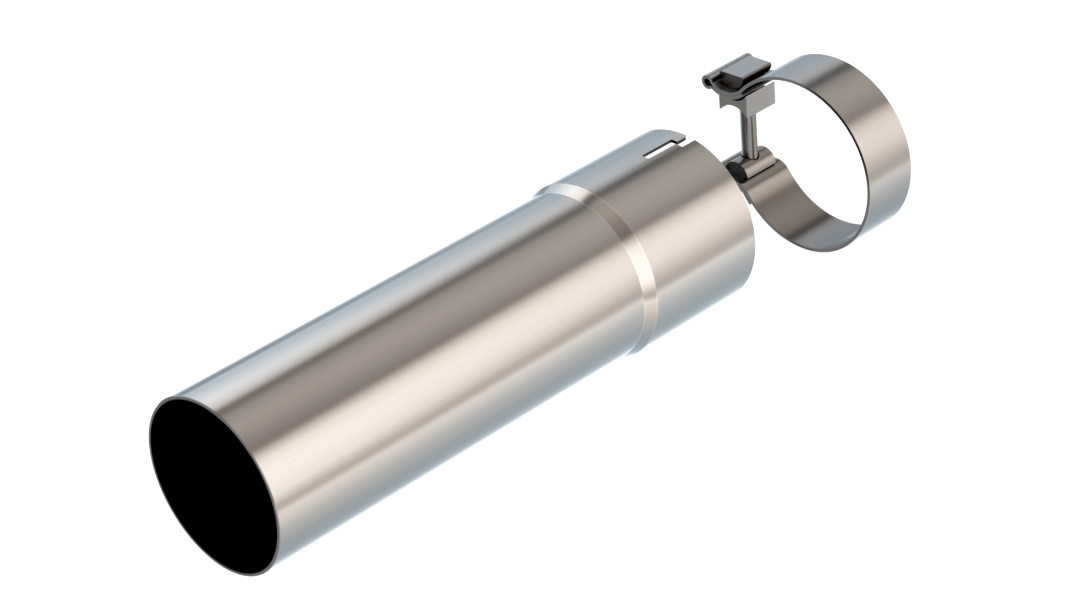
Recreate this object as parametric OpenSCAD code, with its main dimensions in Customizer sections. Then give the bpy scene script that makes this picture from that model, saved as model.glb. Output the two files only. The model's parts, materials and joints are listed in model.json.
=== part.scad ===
// Straight exhaust pipe with a slotted slip-on socket, and the single-bolt band clamp that closes the socket.
// The clamp stands loose in front of the socket, as delivered, and both rest on the same floor.
// The origin is the centre of the socket's mouth, +X runs out of the mouth, and +Z is up.

/* [Tube] */
// Outer diameter of the tube
tube_od = 101.6; // [70:0.1:130]
// Thickness of the pipe's wall
pipe_wall = 2; // [1.5:0.1:3]
// Length from the plain end to the socket's mouth
pipe_length = 356; // [250:1:600]
// Chamfer on the outer edge of both ends
edge_break = 0.4; // [0.2:0.1:0.8]

/* [Socket] */
// Depth of the straight part of the socket
socket_depth = 82; // [60:1:110]
// Radial clearance in the socket around the tube that slides in
socket_clearance = 0.5; // [0.2:0.1:1]
// Length of the formed step between the tube and the socket
step_length = 8; // [5:0.5:15]
// Radius of the two bends of the step
step_bend = 3; // [1:0.5:5]

/* [Slot in the socket] */
// Width of the slot's outer arm, which opens at the mouth
outer_slot_width = 5.4; // [4:0.1:8]
// Length of the slot's outer arm
outer_slot_length = 11.2; // [8:0.1:16]
// Width of the slot's inner arm
inner_slot_width = 5.1; // [4:0.1:8]
// Distance from the mouth to the slot's inner end
slot_end = 34; // [28:0.5:50]
// Width over which the two arms lie side by side
slot_side_overlap = 0.7; // [0.5:0.1:2]
// Length over which the two arms lie side by side
slot_end_overlap = 2; // [1:0.1:4]
// Radius of the slot's inner corners
slot_corner = 1; // [0.5:0.1:1.4]
// Radius of the rounded lip where the slot meets the mouth
lip_radius = 3; // [1:0.1:5]

/* [Clamp band] */
// Width of the band
band_width = 38; // [30:1:50]
// Thickness of the band's strip
strip = 2; // [1.2:0.1:2.2]
// Gap between the strip and its folded return
fold_gap = 0.2; // [0.1:0.05:0.4]
// Radial clearance of the open ring around the socket
ring_clearance = 1; // [0.5:0.1:2]
// How much smaller the radius of the ring's lower arc is
ring_pinch = 3.5; // [2:0.1:5]
// Angle from the free side at which the upper arc becomes the lower arc
pinch_angle = 206.3; // [190:0.1:220]
// Height of the lower ear's seat above the bottom of the ring
ear_rise = 25.6; // [22:0.1:30]
// Outer radius of the shoulder between the ring and the lower ear
shoulder_radius = 12; // [10:0.1:14]
// Angle by which the lower return runs on around the ring
leg_return = 6.8; // [4:0.1:12]
// Radius of the upper ear's trough
trough_radius = 16.9; // [15:0.1:19]
// Angle from the trough's bottom to its free end
trough_wrap = 44.6; // [42:0.1:50]
// Angle from the trough's bottom to the end of the upper return
trough_return = 41; // [30:0.1:44]
// Outer radius of the rolled loop at the free end of each ear
loop_radius = 4.5; // [4:0.1:5.5]
// How far the upper loop hangs off the middle of its fold
upper_loop_shift = 1.3; // [0:0.1:1.8]
// How far the lower loop stands off the middle of its fold
lower_loop_shift = 0.8; // [0:0.1:1.8]
// Distance from the middle of a loop to the place where its two layers meet
loop_reach = 5; // [4:0.1:7]

/* [Clamp bolt, bars and block] */
// Diameter of the bolt
bolt_diameter = 10; // [8:0.1:11]
// How far inside the ring's radius the bolt's axis lies
bolt_inset = 1.3; // [0:0.1:3]
// Radial clearance of the bolt in the ears and in the lower bar
bolt_clearance = 0.75; // [0.4:0.05:1]
// Radial clearance of the bolt in the spacer block
block_bore_clearance = 0.3; // [0.25:0.05:0.6]
// Radius of the half-round bolt head and of the half-round lower bar
bar_radius = 9.2; // [8.4:0.1:10]
// Length of the bolt head, the block and the lower bar
bar_length = 26; // [20:0.5:30]
// Radius on the long edges of both half-round bars
bar_edge = 1.2; // [0.5:0.1:2]
// Gap between the bolt head and the trough that carries it
head_gap = 0.1; // [0.05:0.01:0.3]
// Width of the spacer block
block_width = 21.8; // [19:0.1:22]
// Thickness of the spacer block at its waist
block_waist = 3.7; // [3:0.1:5]
// How much larger the radius of the block's two hollows is than the lower bar
hollow_clearance = 4.3; // [3:0.1:5]
// Gap left between the raised block's edges and the upper ear
block_seat_gap = 0.3; // [0.25:0.05:0.6]
// How far the block hangs below its highest place
block_drop = 0.9; // [0.5:0.1:3]

/* [Nut] */
// Width of the nut across its flats
nut_flats = 16; // [15:0.1:17]
// Height of the nut
nut_height = 8.4; // [6:0.1:10]
// Radial clearance of the nut on the bolt
nut_clearance = 0.05; // [0.02:0.01:0.1]
// Slack between the nut and the lower ear, with the clamp open
nut_slack = 1; // [0.8:0.1:2]
// Length of bolt that shows past the nut
bolt_end = 6; // [1:0.1:8]
// Chamfer on the end of the bolt
bolt_chamfer = 1; // [0.5:0.1:1.5]

/* [Clamp's place] */
// Distance from the socket's mouth to the near edge of the band
stand_off = 84.4; // [60:0.1:150]
// How far the ring's centre lies to the side of the pipe's axis
side_shift = -11; // [-40:0.1:40]
// Lean of the bolt from upright
lean = 6.3; // [0:0.1:8]

/* [Hidden] */

// Radii of the pipe
tube_radius = tube_od / 2;
socket_bore = tube_radius + socket_clearance;
socket_radius = socket_bore + pipe_wall;
floor_depth = socket_radius;
cut = 1;

// Radii of the ring's two arcs, whose centre lines meet where the arc changes
upper_arc = socket_radius + ring_clearance;
lower_arc = upper_arc - ring_pinch;
lower_centre = ring_pinch * [cos(pinch_angle), sin(pinch_angle)];
doubled = 2 * strip + fold_gap;

// The bolt's axis, and the trough's centre, from which the trough runs smoothly into the ring
bolt_offset = upper_arc - bolt_inset;
trough_reach = upper_arc + strip + trough_radius;
trough_centre = [bolt_offset, sqrt(pow(trough_reach, 2) - pow(bolt_offset, 2))];
ear_angle = atan2(trough_centre[1], trough_centre[0]);
trough_under = trough_radius + doubled;

// Depth of the lower ear's seat below the ring's centre
seat_depth = lower_arc - ear_rise;

// The shoulder's centre, from which the shoulder runs smoothly into the ring's lower arc
shoulder_drop = -seat_depth - shoulder_radius;
shoulder_reach = lower_arc + shoulder_radius;
shoulder_side = sqrt(pow(shoulder_reach, 2) - pow(lower_centre[1] - shoulder_drop, 2));
shoulder_centre = [lower_centre[0] + shoulder_side, shoulder_drop];
leg_angle = atan2(shoulder_centre[1] - lower_centre[1], shoulder_side);

// The rolled loops at the free ends of the ears
upper_loop_angle = 270 + trough_wrap;
upper_loop_reach = trough_radius + doubled / 2 + upper_loop_shift;
upper_loop = trough_centre + upper_loop_reach * [cos(upper_loop_angle), sin(upper_loop_angle)];
loop_gap = 0.3;
lower_loop = [
    bolt_offset + bar_radius + loop_gap + loop_radius,
    -seat_depth - doubled / 2 + lower_loop_shift
];

// Heights along the bolt, from the ring's centre
head_top = trough_centre[1] - trough_radius + head_gap + bar_radius;
block_side = block_width / 2;
block_top = trough_centre[1] - sqrt(pow(trough_under, 2) - pow(block_side, 2)) - block_seat_gap - block_drop;
hollow_radius = bar_radius + hollow_clearance;
hollow_height = sqrt(pow(hollow_radius, 2) - pow(block_side, 2));
block_middle = block_top + hollow_height - hollow_radius - block_waist / 2;
nut_top = -seat_depth - doubled - nut_slack;
bolt_bottom = nut_top - nut_height - bolt_end;

// The clamp's place: its middle along the pipe, and the height at which its lowest point meets the floor
bolt_radius = bolt_diameter / 2;
clamp_middle = stand_off + band_width / 2;
clamp_height = lower_arc + strip - floor_depth
    - lower_centre[1] * cos(lean) + lower_centre[0] * sin(lean);

// Length by which two bends of the strip run into each other
lap = 0.2;

// Share of a loop's inner radius from which the straight sides of its hollow start
hollow_share = 0.9;

// Number of straight pieces in each bend of the step, and in round outlines
bend_pieces = 4;
$fn = 96;

// [radius, x] points around the bend where a sloping step starts, from the bend's corner
function bend(slope) = [
    for (i = [0:bend_pieces])
    let (turn = slope * i / bend_pieces)
    step_bend * [1 - cos(turn), sin(turn) - tan(slope / 2)]
];

// A straight step between two [radius, x] points, with a bend at each end
function step_line(from, to) =
    let (corner = bend(atan2(to[0] - from[0], to[1] - from[1])))
    concat([for (p = corner) from + p], [for (p = reversed(corner)) to - p]);

// The list in the opposite order
function reversed(list) = [for (i = [len(list) - 1:-1:0]) list[i]];

// Wall of the pipe in section, as [radius, x] points
module pipe_section() {
    step_end = -socket_depth;
    step_start = step_end - step_length;
    outer = step_line([tube_radius, step_start], [socket_radius, step_end]);
    inner = step_line([tube_radius - pipe_wall, step_start], [socket_bore, step_end]);
    polygon(concat(
        [[tube_radius - pipe_wall, -pipe_length]],
        [[tube_radius - edge_break, -pipe_length], [tube_radius, edge_break - pipe_length]],
        outer,
        [[socket_radius, -edge_break], [socket_radius - edge_break, 0], [socket_bore, 0]],
        reversed(inner)
    ));
}

// Rectangle between two corners, with its corners rounded
module rounded_rectangle(low, high, radius) {
    size = high - low;
    translate(low + [radius, 0]) square(size - [2 * radius, 0]);
    translate(low + [0, radius]) square(size - [0, 2 * radius]);
    for (x = [low[0] + radius, high[0] - radius], y = [low[1] + radius, high[1] - radius])
        translate([x, y]) circle(radius);
}

// The stepped slot seen from above, with the lip at the mouth rounded on one side
module slot_outline() {
    inner_start = slot_end_overlap - outer_slot_length;
    inner_high = inner_slot_width - slot_side_overlap;
    rounded_rectangle([-outer_slot_length, -outer_slot_width], [slot_corner + cut, 0], slot_corner);
    rounded_rectangle([-slot_end, -slot_side_overlap], [inner_start, inner_high], slot_corner);
    difference() {
        translate([-lip_radius, -cut]) square([lip_radius + cut, lip_radius + cut]);
        translate([-lip_radius, lip_radius]) circle(lip_radius);
    }
}

// One-piece pipe: a tube whose end is expanded to a socket, with a stepped slot in the socket's top
module exhaust_pipe() {
    color("#b9b5b0")
    difference() {
        rotate([0, 90, 0]) rotate_extrude($fn = 180) pipe_section();
        linear_extrude(socket_radius + cut) slot_outline();
    }
}

// Sector around a centre between two angles, for cutting arcs out of rings
module sector(centre, radius, from, to) {
    pieces = ceil((to - from) / 45);
    translate(centre) polygon(concat(
        [[0, 0]],
        [for (i = [0:pieces]) let (a = from + (to - from) * i / pieces) 2 * radius * [cos(a), sin(a)]]
    ));
}

// Arc of strip around a centre, from its inner radius outwards
module strip_arc(centre, radius, thickness, from, to) {
    lap_angle = lap / radius * 180 / PI;
    intersection() {
        difference() {
            translate(centre) circle(radius + thickness);
            translate(centre) circle(radius);
        }
        sector(centre, radius + thickness, from - lap_angle, to + lap_angle);
    }
}

// The upper ear: a trough, and under it the folded return
module upper_ear_section() {
    strip_arc(trough_centre, trough_radius, strip, 180 + ear_angle, upper_loop_angle);
    strip_arc(trough_centre, trough_under - strip, strip, 270 - trough_return, upper_loop_angle);
}

// The lower ear: shoulder and flat seat, and under them the return, which runs on outside the ring
module lower_ear_section() {
    seat_length = lower_loop[0] - shoulder_centre[0];
    for (depth = [0, strip + fold_gap]) {
        strip_arc(shoulder_centre, shoulder_radius - depth - strip, strip, 90, 180 + leg_angle);
        translate([shoulder_centre[0], -seat_depth - depth - strip]) square([seat_length, strip]);
    }
    leg_end = 360 + leg_angle;
    strip_arc(lower_centre, lower_arc + strip + fold_gap, strip, leg_end - leg_return, leg_end);
}

// Drop-shaped hollow of a rolled loop, which narrows to the place where the two layers meet
module loop_hollow(centre, tip) {
    reach = tip - centre;
    radius = loop_radius - strip;
    spread = acos(radius / norm(reach));
    corner = hollow_share * radius * [cos(spread), sin(spread)];
    translate(centre) rotate(atan2(reach[1], reach[0])) {
        circle(radius);
        polygon([[0, 0], [corner[0], -corner[1]], [norm(reach), 0], corner]);
    }
}

// Whole band in section: 2D x runs from the ring's centre to the bolt, and 2D y runs up along the bolt
module band_section() {
    fold_radius = trough_radius + doubled / 2;
    upper_tip_angle = upper_loop_angle - loop_reach / fold_radius * 180 / PI;
    difference() {
        union() {
            strip_arc([0, 0], upper_arc, strip, ear_angle, pinch_angle);
            strip_arc(lower_centre, lower_arc, strip, pinch_angle, 360 + leg_angle);
            upper_ear_section();
            lower_ear_section();
            for (loop = [upper_loop, lower_loop])
                translate(loop) circle(loop_radius);
        }
        loop_hollow(upper_loop, trough_centre + fold_radius * [cos(upper_tip_angle), sin(upper_tip_angle)]);
        loop_hollow(lower_loop, [lower_loop[0] - loop_reach, -seat_depth - doubled / 2]);
        strip_arc(trough_centre, trough_radius + strip, fold_gap, 270, upper_loop_angle);
        translate([bolt_offset, -seat_depth - strip - fold_gap])
            square([lower_loop[0] - bolt_offset, fold_gap]);
    }
}

// Puts a clamp piece, drawn around the ring's centre, at its place in front of the pipe
module in_clamp() {
    translate([clamp_middle, side_shift, clamp_height]) rotate([-lean, 0, 0]) children();
}

// Extrudes a section of the clamp along the pipe's direction, centred on the clamp's middle
module along_pipe(length) {
    rotate([90, 0, 90]) translate([0, 0, -length / 2]) linear_extrude(length) children();
}

// Round hole along the bolt's axis, wider than the bolt by a clearance
module bolt_hole(clearance, low, high) {
    translate([0, bolt_offset, low]) cylinder(r = bolt_radius + clearance, h = high - low);
}

// Half-round bar in section, with its flat side on the x axis and its round side below
module bar_section() {
    edge_side = sqrt(pow(bar_radius - bar_edge, 2) - pow(bar_edge, 2));
    edge_centre = [edge_side, -bar_edge];
    outer_point = edge_centre * (bar_radius + cut) / (bar_radius - bar_edge);
    difference() {
        intersection() {
            circle(bar_radius);
            translate([-bar_radius, -bar_radius]) square([2 * bar_radius, bar_radius]);
        }
        for (side = [0, 1]) mirror([side, 0]) difference() {
            polygon([edge_centre, outer_point, [bar_radius + cut, cut], [edge_side, cut]]);
            translate(edge_centre) circle(bar_edge);
        }
    }
}

// One-piece band: a strip bent to an open ring, with a trough and a flat seat for ears, folded back on itself
module clamp_band() {
    color("#9c9893")
    in_clamp() difference() {
        along_pipe(band_width) band_section();
        bolt_hole(bolt_clearance, nut_top, head_top);
    }
}

// Forged bolt, whose half-round head lies in the upper ear's trough
module t_bolt() {
    color("#8d8f92")
    in_clamp() {
        along_pipe(bar_length) translate([bolt_offset, head_top]) bar_section();
        translate([0, bolt_offset, bolt_bottom]) rotate_extrude() polygon([
            [0, 0],
            [bolt_radius - bolt_chamfer, 0],
            [bolt_radius, bolt_chamfer],
            [bolt_radius, head_top - bar_radius / 2 - bolt_bottom],
            [0, head_top - bar_radius / 2 - bolt_bottom]
        ]);
    }
}

// Half-round bar on the lower ear's seat, with its round side up
module lower_bar() {
    color("#a19d98")
    in_clamp() difference() {
        along_pipe(bar_length) translate([bolt_offset, -seat_depth]) rotate(180) bar_section();
        bolt_hole(bolt_clearance, -seat_depth - cut, bar_radius + cut - seat_depth);
    }
}

// Loose block between the ears, with the same hollow above and below
module spacer_block() {
    half_height = block_top - block_middle;
    color("#aaa7a2")
    in_clamp() difference() {
        along_pipe(bar_length) translate([bolt_offset, block_middle]) difference() {
            square([block_width, 2 * half_height], center = true);
            for (side = [-1, 1])
                translate([0, side * (half_height + hollow_height)]) circle(hollow_radius);
        }
        bolt_hole(block_bore_clearance, block_middle - half_height, block_top);
    }
}

// Hexagon nut with both faces chamfered, hanging slack below the lower ear
module clamp_nut() {
    corner = nut_flats / sqrt(3);
    face = nut_flats / 2 - edge_break;
    slope = (corner - face) * tan(30);
    color("#8b8a88")
    in_clamp() translate([0, bolt_offset, nut_top - nut_height]) difference() {
        intersection() {
            cylinder(r = corner, h = nut_height, $fn = 6);
            rotate_extrude() polygon([
                [0, 0], [face, 0], [corner, slope],
                [corner, nut_height - slope], [face, nut_height], [0, nut_height]
            ]);
        }
        translate([0, 0, -cut]) cylinder(r = bolt_radius + nut_clearance, h = nut_height + 2 * cut);
    }
}

exhaust_pipe();
clamp_band();
t_bolt();
lower_bar();
spacer_block();
clamp_nut();
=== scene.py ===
# Looks of a satin stainless exhaust pipe and of the open band clamp that stands in front of its socket.
# Everything is in metres in the pipe's own frame: +X runs out of the socket's mouth and +Z is up.
import json
import math

import bpy
from mathutils import Matrix, Vector


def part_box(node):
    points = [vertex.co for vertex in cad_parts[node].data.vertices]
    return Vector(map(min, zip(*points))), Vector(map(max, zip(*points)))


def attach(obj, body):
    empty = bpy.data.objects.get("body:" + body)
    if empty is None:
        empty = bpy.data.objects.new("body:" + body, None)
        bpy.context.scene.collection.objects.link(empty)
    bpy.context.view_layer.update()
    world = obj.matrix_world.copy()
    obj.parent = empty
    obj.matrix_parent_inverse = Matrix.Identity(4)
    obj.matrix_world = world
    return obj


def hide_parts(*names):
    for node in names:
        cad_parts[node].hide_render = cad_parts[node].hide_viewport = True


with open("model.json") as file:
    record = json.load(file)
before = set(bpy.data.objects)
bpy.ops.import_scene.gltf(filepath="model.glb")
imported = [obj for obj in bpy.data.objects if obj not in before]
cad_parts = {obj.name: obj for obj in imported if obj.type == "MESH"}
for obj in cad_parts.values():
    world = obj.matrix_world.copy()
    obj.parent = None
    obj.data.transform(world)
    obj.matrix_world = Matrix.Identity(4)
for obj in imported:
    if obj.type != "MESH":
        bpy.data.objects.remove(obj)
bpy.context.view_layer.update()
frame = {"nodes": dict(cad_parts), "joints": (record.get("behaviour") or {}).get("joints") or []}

# Real sizes of the pipe and the clamp that the looks depend on
MM = 0.001
FLOOR_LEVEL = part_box("exhaust_pipe")[0][2]
PIPE_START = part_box("exhaust_pipe")[0][0]
TUBE_BORE = 48.8 * MM
SOCKET_DEPTH = 82 * MM
STEP_LENGTH = 8 * MM
SLOT_END = 36 * MM
RING_CENTRE = (103.4 * MM, -11 * MM, 0.7 * MM)


def hex_colour(value):
    """The linear colour, with alpha, of an sRGB hex value such as 0xd9d4cf."""
    parts = [(value >> shift & 255) / 255 for shift in (16, 8, 0)]
    linear = [p / 12.92 if p <= 0.04045 else ((p + 0.055) / 1.055) ** 2.4 for p in parts]
    return (*linear, 1.0)


def add_node(tree, kind, settings=None, inputs=None, output=0):
    """Adds a node with its settings, and a value or a link in each input. Returns one of its outputs."""
    node = tree.nodes.new(kind)
    for name, value in (settings or {}).items():
        setattr(node, name, value)
    for name, value in (inputs or {}).items():
        if isinstance(value, bpy.types.NodeSocket):
            tree.links.new(value, node.inputs[name])
        else:
            node.inputs[name].default_value = value
    return node.outputs[output] if node.outputs else None


def new_material(name):
    """An empty node material and its tree."""
    material = bpy.data.materials.new(name)
    material.use_nodes = True
    material.node_tree.nodes.clear()
    return material, material.node_tree


def select_only(piece):
    """Makes one piece the selected and active object, and the only one."""
    bpy.ops.object.select_all(action="DESELECT")
    piece.select_set(True)
    bpy.context.view_layer.objects.active = piece


def apply_place():
    """Puts the selected object's place, turn and size into its mesh."""
    bpy.ops.object.transform_apply(location=True, rotation=True, scale=True)


# Camera at the photograph's angle
CAMERA_PLACE = Vector((-1.0867, -0.9457, 0.9201))
CAMERA_RIGHT = Vector((0.6993, -0.7149, 0.0)).normalized()
CAMERA_BACK = Vector((-0.5904, -0.5775, 0.5639)).normalized()
FOCAL_LENGTH_MM = 98.84
SENSOR_MM = 36.0
VIEW_DEPTH = 50.0


def make_camera():
    """The camera that the picture is taken with."""
    data = bpy.data.cameras.new("camera")
    data.lens = FOCAL_LENGTH_MM
    data.sensor_width = SENSOR_MM
    data.clip_end = VIEW_DEPTH
    camera = bpy.data.objects.new("camera", data)
    up = CAMERA_BACK.cross(CAMERA_RIGHT).normalized()
    right = up.cross(CAMERA_BACK).normalized()
    turn = Matrix((right, up, CAMERA_BACK)).transposed().to_4x4()
    camera.matrix_world = Matrix.Translation(CAMERA_PLACE) @ turn
    bpy.context.scene.collection.objects.link(camera)
    bpy.context.scene.camera = camera


# Studio: a white world, a pale floor, and a long light tent around the pipe's axis
WHITE = 0xffffff
FLOOR_PAINT = 0xd0d0d0
FLOOR_GLOW = 0.88
FLOOR_SIZE = 40.0
FLOOR_DROP = 0.5 * MM
SOFT_LIGHT = 0xd8dadc
SOFT_STRENGTH = 0.5
TENT_RADIUS = 2.4
TENT_LENGTH = 80.0
TENT_SIDES = 128
TENT_STRENGTH = 1.3

# The cloth changes between these distances from the socket's mouth, along the axis
TENT_MIDDLE = 0.3
TENT_FAR = 1.9

# A grey flag hangs low on the far side, beyond the pipe's plain end
FLAG_COLOUR = 0x8c8c8e
FLAG_ANGLE = math.radians(-136)
FLAG_SPREAD = math.radians(18)
FLAG_EDGE = -1.0
FLAG_FADE = 0.3

# Each strip of cloth is (angle in degrees, colour). The angle is measured around the axis from level
# on the viewer's side, up over the top. The strips are set so that the steel mirrors the same bands
# as on the real pipe.
MIDDLE_BANDS = (
    # Far side, from level down: dim blue cloth, then a white soft box
    (-180, 0xa0acb4), (-174, 0x68727c), (-164, 0x68727b), (-156, 0xe8eef2), (-148, 0xffffff),
    (-122, 0xffffff), (-110, 0xd4dce0), (-102, 0xa4afb6),
    # Underneath: grey cloth
    (-86, 0x929ca1), (-68, 0x989da0), (-46, 0xb5b2ad),
    # Near side, below level: a warm strip and a thin flag
    (-28, 0xdad0c9), (-21, 0xeae0d8), (-17, 0xb2aaa2), (-12, 0xb4aca5),
    # Near side, above level: a warm white soft box
    (-5, 0xe6dcd4), (2, 0xfffaf5), (30, 0xfffaf5), (42, 0xf4ebe3), (50, 0xbcb1a9),
    # Near shoulder: a brown flag that clears towards the top
    (56, 0x69625d), (68, 0x7c746f), (90, 0x9c938c), (106, 0x908a84),
    # Far shoulder: a thin dark flag, then a white soft box that turns blue
    (115, 0x5c5450), (120, 0x706864), (126, 0xeeeae6), (142, 0xffffff), (156, 0xe6ebef), (170, 0xc6d0d8),
)
FAR_BANDS = (
    # Far side, from level down: blue cloth, then a white soft box
    (-180, 0x8a96a0), (-168, 0x99a4ad), (-156, 0xccd6de), (-148, 0xf6fbff), (-124, 0xffffff),
    (-112, 0xd8e0e6), (-100, 0xa8b4bc),
    # Underneath: grey cloth
    (-84, 0x98a3a9), (-66, 0x9ca2a5), (-44, 0xb2b4b5),
    # Near side, below level: a pale strip and a thin flag
    (-30, 0xccccca), (-25, 0xd8d5d1), (-19, 0xb2aca7), (-12, 0xaca6a1),
    # Near side, above level: a warm soft box, dimmer than in the middle
    (0, 0xc8bfb8), (14, 0xe4dbd4), (30, 0xebe2dc), (42, 0xe0d7ce), (50, 0xc4bab2),
    # Near shoulder and top: a grey-brown flag
    (58, 0x847d78), (70, 0x95908b), (86, 0xa09a96), (98, 0x9c9894), (112, 0x8e8b88),
    # Far shoulder: a dark flag, then dim blue cloth
    (117, 0x74716e), (123, 0x4c4a49), (127, 0x565554), (132, 0x8e8e8e), (138, 0xa8aaac),
    (150, 0xa8aeb4), (166, 0x9aa5ad),
)


def tent_cloth(tree, turn, bands):
    """The cloth's colour around the axis, from its bands."""
    ramp = add_node(tree, "ShaderNodeValToRGB", inputs={"Fac": turn})
    elements = ramp.node.color_ramp.elements
    while len(elements) > 1:
        elements.remove(elements[-1])
    for number, (degrees, colour) in enumerate(bands):
        position = (degrees + 180) / 360
        element = elements.new(position) if number else elements[0]
        element.position = position
        element.color = hex_colour(colour)
    return ramp


def make_tent():
    """A light tent that metal mirrors in long bands, and that no camera sees."""
    material, tree = new_material("tent_cloth_lit_from_behind")
    place = add_node(tree, "ShaderNodeTexCoord", output="Object")
    x = add_node(tree, "ShaderNodeSeparateXYZ", inputs={0: place}, output="X")
    near = add_node(tree, "ShaderNodeMath", {"operation": "MULTIPLY"}, {0: x.node.outputs["Y"], 1: -1.0})
    angle = add_node(tree, "ShaderNodeMath", {"operation": "ARCTAN2"}, {0: x.node.outputs["Z"], 1: near})
    turn = add_node(tree, "ShaderNodeMapRange", inputs={
        "Value": angle, "From Min": -math.pi, "From Max": math.pi})
    reach = add_node(tree, "ShaderNodeMath", {"operation": "ABSOLUTE"}, {0: x})
    far = add_node(tree, "ShaderNodeMapRange", inputs={
        "Value": reach, "From Min": TENT_MIDDLE, "From Max": TENT_FAR})

    # The flag fades out over its own spread around the axis, and over a short way along it
    away = add_node(tree, "ShaderNodeMath", {"operation": "SUBTRACT"}, {0: angle, 1: FLAG_ANGLE})
    away = add_node(tree, "ShaderNodeMath", {"operation": "ABSOLUTE"}, {0: away})
    around = add_node(tree, "ShaderNodeMapRange", inputs={
        "Value": away, "From Min": FLAG_SPREAD, "From Max": 2 * FLAG_SPREAD, "To Min": 1.0, "To Max": 0.0})
    along = add_node(tree, "ShaderNodeMapRange", inputs={
        "Value": x, "From Min": FLAG_EDGE - FLAG_FADE, "From Max": FLAG_EDGE, "To Min": 1.0, "To Max": 0.0})
    flag = add_node(tree, "ShaderNodeMath", {"operation": "MULTIPLY"}, {0: around, 1: along})

    cloth = tent_cloth(tree, turn, MIDDLE_BANDS)
    for share, colour in ((far, tent_cloth(tree, turn, FAR_BANDS)), (flag, hex_colour(FLAG_COLOUR))):
        cloth = add_node(tree, "ShaderNodeMix", {"data_type": "RGBA"}, {
            "Factor": share, 6: cloth, 7: colour}, output=2)
    glow = add_node(tree, "ShaderNodeEmission", inputs={"Color": cloth, "Strength": TENT_STRENGTH})
    add_node(tree, "ShaderNodeOutputMaterial", inputs={"Surface": glow})
    bpy.ops.mesh.primitive_cylinder_add(vertices=TENT_SIDES, radius=TENT_RADIUS, depth=TENT_LENGTH,
                                        end_fill_type="NOTHING", rotation=(0, math.pi / 2, 0))
    tent = bpy.context.object
    apply_place()
    tent.name = "light_tent"
    tent.data.materials.append(material)
    tent.visible_camera = False
    tent.visible_shadow = False
    tent.visible_transmission = False


def background_rays(tree):
    """A factor that is 1 for rays from the camera, and for mirrored and refracted rays."""
    rays = add_node(tree, "ShaderNodeLightPath", output="Is Camera Ray")
    path = rays.node
    for kind in ("Is Glossy Ray", "Is Transmission Ray"):
        rays = add_node(tree, "ShaderNodeMath", {"operation": "MAXIMUM"}, {0: rays, 1: path.outputs[kind]})
    return rays


def make_floor():
    """A white floor that keeps a faint shadow of the object."""
    material, tree = new_material("matt_white_floor")
    paint = add_node(tree, "ShaderNodeBsdfDiffuse", inputs={"Color": hex_colour(FLOOR_PAINT)})
    glow = add_node(tree, "ShaderNodeEmission", inputs={"Color": hex_colour(WHITE), "Strength": FLOOR_GLOW})
    lit = add_node(tree, "ShaderNodeAddShader", inputs={0: paint, 1: glow})
    mixed = add_node(tree, "ShaderNodeMixShader", inputs={0: background_rays(tree), 1: paint, 2: lit})
    add_node(tree, "ShaderNodeOutputMaterial", inputs={"Surface": mixed})
    bpy.ops.mesh.primitive_plane_add(size=FLOOR_SIZE, location=(0, 0, FLOOR_LEVEL - FLOOR_DROP))
    floor = bpy.context.object
    apply_place()
    floor.name = "floor"
    floor.data.materials.append(material)
    floor.visible_glossy = False


def make_world():
    """White where it is seen or mirrored, and a soft grey light elsewhere."""
    world = bpy.data.worlds.new("studio")
    world.use_nodes = True
    tree = world.node_tree
    tree.nodes.clear()
    soft = add_node(tree, "ShaderNodeBackground", inputs={
        "Color": hex_colour(SOFT_LIGHT), "Strength": SOFT_STRENGTH})
    white = add_node(tree, "ShaderNodeBackground", inputs={"Color": hex_colour(WHITE), "Strength": 1.0})
    mixed = add_node(tree, "ShaderNodeMixShader", inputs={0: background_rays(tree), 1: soft, 2: white})
    add_node(tree, "ShaderNodeOutputWorld", inputs={"Surface": mixed})
    bpy.context.scene.world = world


# Finish of all the steel. Real drawing and rolling lines lie closer than 0.1 mm, too fine to show,
# so they are drawn coarser. Each grain is its length along the pipe and its width.
TUBE_GRAIN = (60 * MM, 0.5 * MM)
CLAMP_GRAIN = (20 * MM, 0.4 * MM)
EDGE_RADIUS = 0.25 * MM
SCRATCH_STRENGTH = 0.04
SCRATCH_DEPTH = 0.02 * MM
# Black for painted shade in the bore and in the clamp's corners and folds
SHADE_BLACK = 0x040404

# Drawn tube: two near tones of satin steel, and how rough the satin is, from cloud to cloud
TUBE_TONES = (0xe2e0de, 0xeae8e6)
TUBE_ROUGHNESS = (0.11, 0.16)
TUBE_CLOUDS = 18.0
# A painted white highlight along the step's bends: its strength, and the distances from a bend at which it is
# full and gone
STEP_HIGHLIGHT_STRENGTH = 0.5
STEP_HIGHLIGHT_CORE = 0.2 * MM
STEP_HIGHLIGHT_EDGE = 0.8 * MM

# Cut faces are told from rolled ones by how little they face away from the axis
CUT_FACING = 0.6
ROLLED_FACING = 0.9
SAWN_STEEL = 0xa8a8a8
# Painted shade on the slot's walls
SLOT_WALL_SHADE = 0x484644

# The bore's painted black shade is full to a tenth of a millimetre past the bore and gone by four tenths, and
# pales between two distances from the plain end
BORE_SHADE_FULL = 0.1 * MM
BORE_SHADE_END = 0.4 * MM
BORE_PALE = 0x4e4c4a
BORE_ROUGHNESS = 0.55
BORE_DARK_TO = 0.1
BORE_PALE_FROM = 0.3


def grain(tree, place, size):
    """Noise in streaks along the pipe's direction, from 0 to 1."""
    length, width = size
    stretched = add_node(tree, "ShaderNodeMapping", {"vector_type": "POINT"},
                         {"Vector": place, "Scale": (1 / length, 1 / width, 1 / width)})
    return add_node(tree, "ShaderNodeTexNoise", inputs={
        "Vector": stretched, "Scale": 1.0, "Detail": 2.0, "Roughness": 0.5}, output="Fac")


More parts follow.
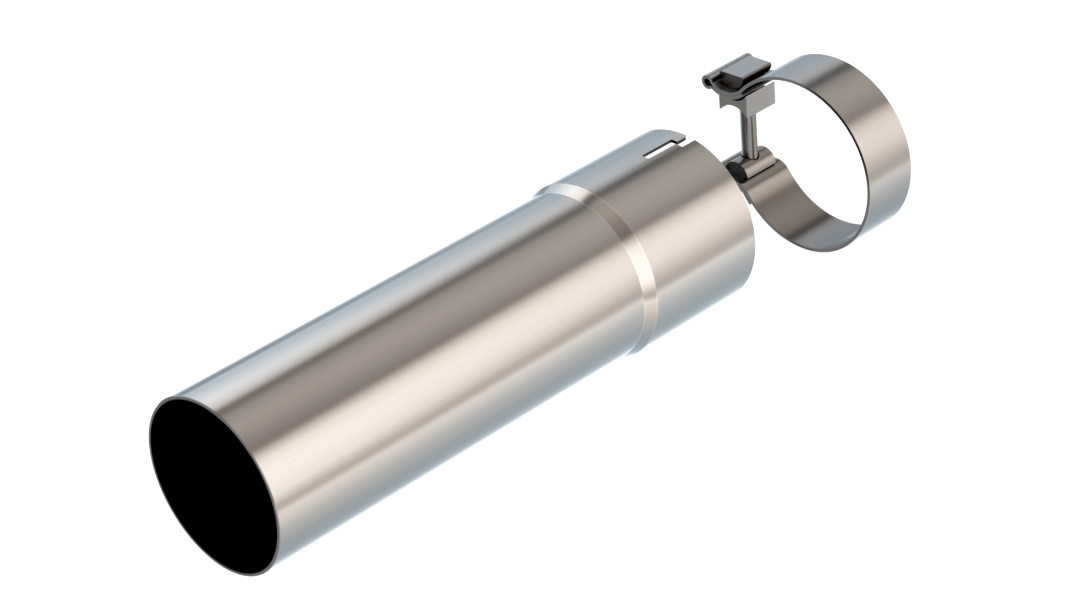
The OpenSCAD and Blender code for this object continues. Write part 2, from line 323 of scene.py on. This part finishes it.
def soft_edges(tree, streaks):
    """A normal that rounds sharp edges a little, with the finest scratches of the finish."""
    rounded = add_node(tree, "ShaderNodeBevel", {"samples": 4}, {"Radius": EDGE_RADIUS})
    return add_node(tree, "ShaderNodeBump", inputs={
        "Strength": SCRATCH_STRENGTH, "Distance": SCRATCH_DEPTH, "Height": streaks, "Normal": rounded})


def satin_tube_steel():
    """Drawn stainless tube, which mirrors the studio in long soft bands with faint lines along them.
    It has a painted white highlight along both bends of the step, is grey where it is cut with painted shade
    on the slot's walls, and is dull with painted black shade in its bore."""
    material, tree = new_material("satin_stainless_tube")
    place = add_node(tree, "ShaderNodeTexCoord", output="Object")
    normal = place.node.outputs["Normal"]
    x = add_node(tree, "ShaderNodeSeparateXYZ", inputs={0: place}, output="X")
    spoke = add_node(tree, "ShaderNodeVectorMath", {"operation": "MULTIPLY"}, {0: place, 1: (0, 1, 1)})
    radius = add_node(tree, "ShaderNodeVectorMath", {"operation": "LENGTH"}, {0: spoke}, "Value")
    streaks = grain(tree, place, TUBE_GRAIN)

    # A painted white highlight runs along both bends of the step
    bend = x
    for operation, amount in (("ADD", SOCKET_DEPTH + STEP_LENGTH / 2), ("ABSOLUTE", 0.0),
                              ("SUBTRACT", STEP_LENGTH / 2), ("ABSOLUTE", 0.0)):
        bend = add_node(tree, "ShaderNodeMath", {"operation": operation}, {0: bend, 1: amount})
    step_highlight = add_node(tree, "ShaderNodeMapRange", inputs={
        "Value": bend, "From Min": STEP_HIGHLIGHT_CORE, "From Max": STEP_HIGHLIGHT_EDGE,
        "To Min": STEP_HIGHLIGHT_STRENGTH, "To Max": 0.0})

    # Sawn ends are grey, and the slot's walls get painted shade
    outward = add_node(tree, "ShaderNodeVectorMath", {"operation": "DOT_PRODUCT"},
                       {0: spoke, 1: normal}, "Value")
    outward = add_node(tree, "ShaderNodeMath", {"operation": "DIVIDE"}, {0: outward, 1: radius})
    outward = add_node(tree, "ShaderNodeMath", {"operation": "ABSOLUTE"}, {0: outward})
    cut = add_node(tree, "ShaderNodeMapRange", inputs={
        "Value": outward, "From Min": CUT_FACING, "From Max": ROLLED_FACING, "To Min": 1.0, "To Max": 0.0})
    past_slot_end = add_node(tree, "ShaderNodeMapRange", inputs={
        "Value": x, "From Min": -SLOT_END - MM, "From Max": -SLOT_END})
    behind_mouth = add_node(tree, "ShaderNodeMapRange", inputs={
        "Value": x, "From Min": -MM, "From Max": -0.5 * MM, "To Min": 1.0, "To Max": 0.0})
    in_slot = add_node(tree, "ShaderNodeMath", {"operation": "MULTIPLY"}, {0: past_slot_end, 1: behind_mouth})
    cut_colour = add_node(tree, "ShaderNodeMix", {"data_type": "RGBA"}, {
        "Factor": in_slot, 6: hex_colour(SAWN_STEEL), 7: hex_colour(SLOT_WALL_SHADE)}, output=2)

    # Painted black shade in the bore, which is also made dull, and pales a little towards the socket
    inside = add_node(tree, "ShaderNodeMapRange", inputs={
        "Value": radius, "From Min": TUBE_BORE + BORE_SHADE_FULL, "From Max": TUBE_BORE + BORE_SHADE_END,
        "To Min": 1.0, "To Max": 0.0})
    towards_socket = add_node(tree, "ShaderNodeMapRange", inputs={
        "Value": x, "From Min": PIPE_START + BORE_DARK_TO, "From Max": PIPE_START + BORE_PALE_FROM})
    bore_shade = add_node(tree, "ShaderNodeMix", {"data_type": "RGBA"}, {
        "Factor": towards_socket, 6: hex_colour(SHADE_BLACK), 7: hex_colour(BORE_PALE)}, output=2)

    tone = hex_colour(TUBE_TONES[0])
    for share, colour in ((streaks, hex_colour(TUBE_TONES[1])), (step_highlight, hex_colour(WHITE)),
                          (cut, cut_colour), (inside, bore_shade)):
        tone = add_node(tree, "ShaderNodeMix", {"data_type": "RGBA"}, {
            "Factor": share, 6: tone, 7: colour}, output=2)
    clouds = add_node(tree, "ShaderNodeTexNoise", inputs={
        "Vector": place, "Scale": TUBE_CLOUDS, "Detail": 1.0}, output="Fac")
    satin = add_node(tree, "ShaderNodeMapRange", inputs={
        "Value": clouds, "To Min": TUBE_ROUGHNESS[0], "To Max": TUBE_ROUGHNESS[1]})
    dull = add_node(tree, "ShaderNodeMapRange", inputs={"Value": inside, "To Max": BORE_ROUGHNESS})
    rough = add_node(tree, "ShaderNodeMath", {"operation": "MAXIMUM"}, {0: satin, 1: dull})
    steel = add_node(tree, "ShaderNodeBsdfPrincipled", inputs={
        "Base Color": tone, "Metallic": 1.0, "Roughness": rough, "Normal": soft_edges(tree, streaks)})
    add_node(tree, "ShaderNodeOutputMaterial", inputs={"Surface": steel})
    return material


# Clamp steel: how far the grain turns to the cut tone, and where painted shade makes it dark and dull
CLAMP_STREAKS = 0.12
INNER_FACE_FULL = -30 * MM
INNER_FACE_START = -10 * MM
TOP_FACING = (0.96, 0.985)
END_FACING = (0.85, 0.97)
CORNER_REACH = 9 * MM
DULL_SHADE = 0.75
SHADE_ROUGHNESS = 0.7
# The painted black shade under the upper ear grows over this height above the axis
EAR_SHADE_HEIGHT = 10 * MM


def clamp_steel(name, rolled, cut, inner, roughness, corners, top=None, ear_shade=None):
    """Satin steel of a clamp piece, with painted shade: greyer where it faces into the ring and on end faces,
    and dark in corners and folds. corners is the openness at which the painted corner shade is full and gone,
    top a tone of its own for level faces, and the last argument the distances to the side between which the
    inner face gets painted black shade."""
    material, tree = new_material(name)
    place = add_node(tree, "ShaderNodeTexCoord", output="Object")
    normal = place.node.outputs["Normal"]
    facing = add_node(tree, "ShaderNodeSeparateXYZ", inputs={0: normal}, output="X")
    streaks = grain(tree, place, CLAMP_GRAIN)
    worn = add_node(tree, "ShaderNodeMapRange", inputs={"Value": streaks, "To Max": CLAMP_STREAKS})
    # Faces that look into the ring take the inner tone, a painted shade
    spoke = add_node(tree, "ShaderNodeVectorMath", {"operation": "SUBTRACT"}, {0: place, 1: RING_CENTRE})
    inward = add_node(tree, "ShaderNodeVectorMath", {"operation": "DOT_PRODUCT"},
                      {0: spoke, 1: normal}, "Value")
    inward = add_node(tree, "ShaderNodeMapRange", inputs={
        "Value": inward, "From Min": INNER_FACE_FULL, "From Max": INNER_FACE_START,
        "To Min": 1.0, "To Max": 0.0})
    layers = [(worn, hex_colour(cut)), (inward, hex_colour(inner))]
    if top is not None:
        level = add_node(tree, "ShaderNodeMapRange", inputs={
            "Value": facing.node.outputs["Z"], "From Min": TOP_FACING[0], "From Max": TOP_FACING[1]})
        layers.append((level, hex_colour(top)))
    # Faces that look along the pipe take the cut tone, which on the bolt and the bar is dark painted shade
    end = add_node(tree, "ShaderNodeMath", {"operation": "ABSOLUTE"}, {0: facing})
    end = add_node(tree, "ShaderNodeMapRange", inputs={
        "Value": end, "From Min": END_FACING[0], "From Max": END_FACING[1]})
    layers.append((end, hex_colour(cut)))

    # Painted shade: corners and folds turn black, and the steel there is made dull
    openness = add_node(tree, "ShaderNodeAmbientOcclusion", {"samples": 12},
                        {"Distance": CORNER_REACH}, "AO")
    painted_shade = add_node(tree, "ShaderNodeMapRange", inputs={
        "Value": openness, "From Min": corners[0], "From Max": corners[1], "To Min": 1.0, "To Max": 0.0})
    # Painted black shade on the inner face under the upper ear, between two distances to the side
    if ear_shade is not None:
        y = add_node(tree, "ShaderNodeSeparateXYZ", inputs={0: place}, output="Y")
        ear_shaded = add_node(tree, "ShaderNodeMapRange", inputs={
            "Value": y, "From Min": ear_shade[0], "From Max": ear_shade[1]})
        high = add_node(tree, "ShaderNodeMapRange", inputs={
            "Value": y.node.outputs["Z"], "From Min": 0.0, "From Max": EAR_SHADE_HEIGHT})
        for mask in (high, inward):
            ear_shaded = add_node(tree, "ShaderNodeMath", {"operation": "MULTIPLY"}, {0: ear_shaded, 1: mask})
        painted_shade = add_node(tree, "ShaderNodeMath", {"operation": "MAXIMUM"}, {0: painted_shade, 1: ear_shaded})
    layers.append((painted_shade, hex_colour(SHADE_BLACK)))

    tone = hex_colour(rolled)
    for share, colour in layers:
        tone = add_node(tree, "ShaderNodeMix", {"data_type": "RGBA"}, {
            "Factor": share, 6: tone, 7: colour}, output=2)
    dull = add_node(tree, "ShaderNodeMapRange", inputs={"Value": painted_shade, "From Min": DULL_SHADE})
    shine = add_node(tree, "ShaderNodeMath", {"operation": "SUBTRACT"}, {0: 1.0, 1: dull})
    rough = add_node(tree, "ShaderNodeMapRange", inputs={
        "Value": dull, "To Min": roughness, "To Max": SHADE_ROUGHNESS})
    steel = add_node(tree, "ShaderNodeBsdfPrincipled", inputs={
        "Base Color": tone, "Metallic": shine, "Roughness": rough, "Specular IOR Level": 0.0,
        "Normal": soft_edges(tree, streaks)})
    add_node(tree, "ShaderNodeOutputMaterial", inputs={"Surface": steel})
    return material


def dress(node, material):
    """Puts one material on a CAD node."""
    piece = frame["nodes"][node]
    piece.data.materials.clear()
    piece.data.materials.append(material)


# Threaded bolt, which stands for the plain solid: a coarse 10 mm thread with a chamfered end.
# Its run-out is hidden in the lower bar.
BOLT_RADIUS = 5 * MM
THREAD_PITCH = 1.5 * MM
THREAD_CREST = 4.97 * MM
THREAD_ROOT = 4.08 * MM
THREAD_LENGTH = 27 * MM
THREAD_STEPS = 40
THREAD_TRIM = 1.2 * THREAD_PITCH
END_CHAMFER = 1.2 * MM
END_RADIUS = 3.9 * MM
POINT_RADIUS = BOLT_RADIUS + MM
POINT_LENGTH = END_CHAMFER + MM
DOWNWARD = -0.9
WELD_DISTANCE = 0.002 * MM

# Points nearer to a cut than this count as on it. Where that is more than the thread rises from one
# step to the next, the cut leaves gaps, and the solids don't join the same way each time.
CUT_DISTANCE = 0.0001 * MM
SHANK_MARGIN = 0.01 * MM
SHANK_OVERLAP = MM
SMOOTH_ANGLE = math.radians(25)


def edit(piece, select="SELECT", kind="VERT"):
    """Starts edit mode on one piece alone, with everything in it selected or not."""
    select_only(piece)
    bpy.ops.object.mode_set(mode="EDIT")
    bpy.ops.mesh.select_mode(type=kind)
    bpy.ops.mesh.select_all(action=select)


def apply_modifier(piece, modifier):
    """Applies one modifier of a piece."""
    select_only(piece)
    bpy.ops.object.modifier_apply(modifier=modifier.name)


def combine(piece, tool, operation):
    """Joins a tool's volume to a piece, or keeps what they share, and removes the tool."""
    modifier = piece.modifiers.new("combine", "BOOLEAN")
    modifier.operation = operation
    modifier.solver = "EXACT"
    modifier.object = tool
    apply_modifier(piece, modifier)
    bpy.data.objects.remove(tool)


def place_in_mesh(piece, matrix):
    """Moves a piece by a matrix that goes into its mesh, so that its object stays at the origin."""
    piece.matrix_world = matrix
    select_only(piece)
    apply_place()


def make_blunt_point():
    """A rod, wider than the bolt, that narrows to the bolt's chamfered end at the origin."""
    bpy.ops.mesh.primitive_cylinder_add(
        vertices=2 * THREAD_STEPS, radius=POINT_RADIUS, depth=THREAD_LENGTH,
        location=(0, 0, POINT_LENGTH + THREAD_LENGTH / 2))
    point = bpy.context.object
    apply_place()
    edit(point, "DESELECT", "FACE")
    bpy.ops.object.mode_set(mode="OBJECT")
    for face in point.data.polygons:
        face.select = face.normal.z < DOWNWARD
    bpy.ops.object.mode_set(mode="EDIT")
    bpy.ops.mesh.extrude_region_move(TRANSFORM_OT_translate={"value": (0, 0, -POINT_LENGTH)})
    narrow = END_RADIUS / POINT_RADIUS
    bpy.ops.transform.resize(value=(narrow, narrow, 1))
    bpy.ops.object.mode_set(mode="OBJECT")
    return point


def make_thread():
    """A closed rod of thread that stands on its chamfered end at the origin."""
    flank = (THREAD_PITCH * 5 / 8) / 2
    profile = ((0, THREAD_PITCH / 4), (THREAD_CREST - THREAD_ROOT, flank),
               (0, THREAD_PITCH / 8), (THREAD_ROOT - THREAD_CREST, flank))
    bpy.ops.mesh.primitive_plane_add(size=MM)
    thread = bpy.context.object
    edit(thread)
    bpy.ops.mesh.merge(type="CENTER")
    bpy.ops.transform.translate(value=(THREAD_ROOT, 0, 0))
    for out, up in profile:
        bpy.ops.mesh.extrude_region_move(TRANSFORM_OT_translate={"value": (out, 0, up)})
    bpy.ops.object.mode_set(mode="OBJECT")
    screw = thread.modifiers.new("thread", "SCREW")
    screw.angle = 2 * math.pi
    screw.screw_offset = THREAD_PITCH
    screw.iterations = math.ceil(THREAD_LENGTH / THREAD_PITCH) + 2
    screw.steps = THREAD_STEPS
    screw.render_steps = THREAD_STEPS
    apply_modifier(thread, screw)

    # The ragged first and last turns are trimmed off, and both cuts are closed
    edit(thread)
    bpy.ops.mesh.remove_doubles(threshold=WELD_DISTANCE)
    bpy.ops.mesh.bisect(plane_co=(0, 0, THREAD_TRIM), plane_no=(0, 0, 1),
                        use_fill=True, clear_inner=True, threshold=CUT_DISTANCE)
    bpy.ops.mesh.select_all(action="SELECT")
    bpy.ops.mesh.bisect(plane_co=(0, 0, THREAD_TRIM + THREAD_LENGTH), plane_no=(0, 0, 1),
                        use_fill=True, clear_outer=True, threshold=CUT_DISTANCE)
    bpy.ops.mesh.select_all(action="SELECT")
    bpy.ops.mesh.normals_make_consistent(inside=False)
    bpy.ops.transform.translate(value=(0, 0, -THREAD_TRIM))
    bpy.ops.object.mode_set(mode="OBJECT")
    combine(thread, make_blunt_point(), "INTERSECT")
    return thread


def redraw_shank(bolt):
    """Cuts the plain shank off below the head of a bolt that stands on its foot, and draws it anew."""
    edit(bolt)
    bpy.ops.mesh.remove_doubles(threshold=WELD_DISTANCE)
    bpy.ops.mesh.select_all(action="DESELECT")
    bpy.ops.mesh.select_mode(type="FACE")
    bpy.ops.object.mode_set(mode="OBJECT")
    points = bolt.data.vertices
    for face in bolt.data.polygons:
        face.select = all(points[i].co.xy.length < BOLT_RADIUS + SHANK_MARGIN for i in face.vertices)
    bpy.ops.object.mode_set(mode="EDIT")
    bpy.ops.mesh.delete(type="FACE")
    bpy.ops.mesh.select_mode(type="EDGE")
    bpy.ops.mesh.select_non_manifold()
    bpy.ops.mesh.extrude_region_move(TRANSFORM_OT_translate={"value": (0, 0, -SHANK_OVERLAP)})
    bpy.ops.transform.resize(value=(1, 1, 0), center_override=(0, 0, THREAD_LENGTH - SHANK_OVERLAP))
    bpy.ops.mesh.edge_face_add()
    bpy.ops.mesh.select_all(action="SELECT")
    bpy.ops.mesh.normals_make_consistent(inside=False)
    bpy.ops.object.mode_set(mode="OBJECT")


def make_bolt(steel):
    """The forged bolt: the solid's head on a smooth shank that ends in a thread."""
    joint = next(j for j in frame["joints"] if j["name"] == "nut_turn")
    along = Vector(joint["axis"]).normalized()
    place = Vector(joint["pos_m"])
    solid = frame["nodes"]["t_bolt"]
    lowest = min((vertex.co - place).dot(along) for vertex in solid.data.vertices)
    stand = Matrix.Translation(place + along * lowest) @ along.to_track_quat("Z", "Y").to_matrix().to_4x4()

    bolt = bpy.data.objects.new("threaded_bolt", solid.data.copy())
    bpy.context.scene.collection.objects.link(bolt)
    place_in_mesh(bolt, stand.inverted())
    bpy.ops.mesh.customdata_custom_splitnormals_clear()
    redraw_shank(bolt)
    combine(bolt, make_thread(), "UNION")
    place_in_mesh(bolt, stand)
    bpy.ops.object.shade_smooth_by_angle(angle=SMOOTH_ANGLE)
    bolt.data.materials.clear()
    bolt.data.materials.append(steel)
    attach(bolt, "clamp")
    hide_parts("t_bolt")


bpy.ops.object.select_all(action="DESELECT")
make_camera()
make_world()
make_floor()
make_tent()

dress("exhaust_pipe", satin_tube_steel())

# Rolled stainless strip: as bright as the tube, with painted black shade on the inner face under the upper
# ear
dress("clamp_band", clamp_steel(
    "satin_band_strip", rolled=0xdedcda, cut=0xaeacab, inner=0xb6b2ae, roughness=0.16,
    corners=(0.18, 0.85), ear_shade=(12 * MM, 24 * MM)))

# Forged and trimmed bolt: a little darker and softer, with painted shade on its end faces, and a paler tone
# of its own on faces that look straight up
forged_steel = clamp_steel(
    "forged_bolt_steel", rolled=0xaea9a5, cut=0x686868, inner=0xa8a4a0, roughness=0.24,
    corners=(0.25, 0.9), top=0xd4d4d4)
dress("t_bolt", forged_steel)
make_bolt(forged_steel)

# Drawn half-round bar: clear long highlights, and dark painted shade on its end faces
dress("lower_bar", clamp_steel(
    "drawn_bar_steel", rolled=0xbab5b0, cut=0x484848, inner=0xb8b4ae, roughness=0.18, corners=(0.1, 0.7)))

# Extruded block: matt and evenly grey, with hardly a reflection
dress("spacer_block", clamp_steel(
    "matt_block_steel", rolled=0xc3c3c4, cut=0x9d9b98, inner=0xc3c3c4, roughness=0.4, corners=(0.0, 0.4)))

# Plain turned nut: a soft even shine
dress("clamp_nut", clamp_steel(
    "plain_nut_steel", rolled=0xa8a8a6, cut=0x9c9c9a, inner=0xa0a09e, roughness=0.3, corners=(0.25, 0.9)))

bpy.context.scene.view_settings.view_transform = "Standard"
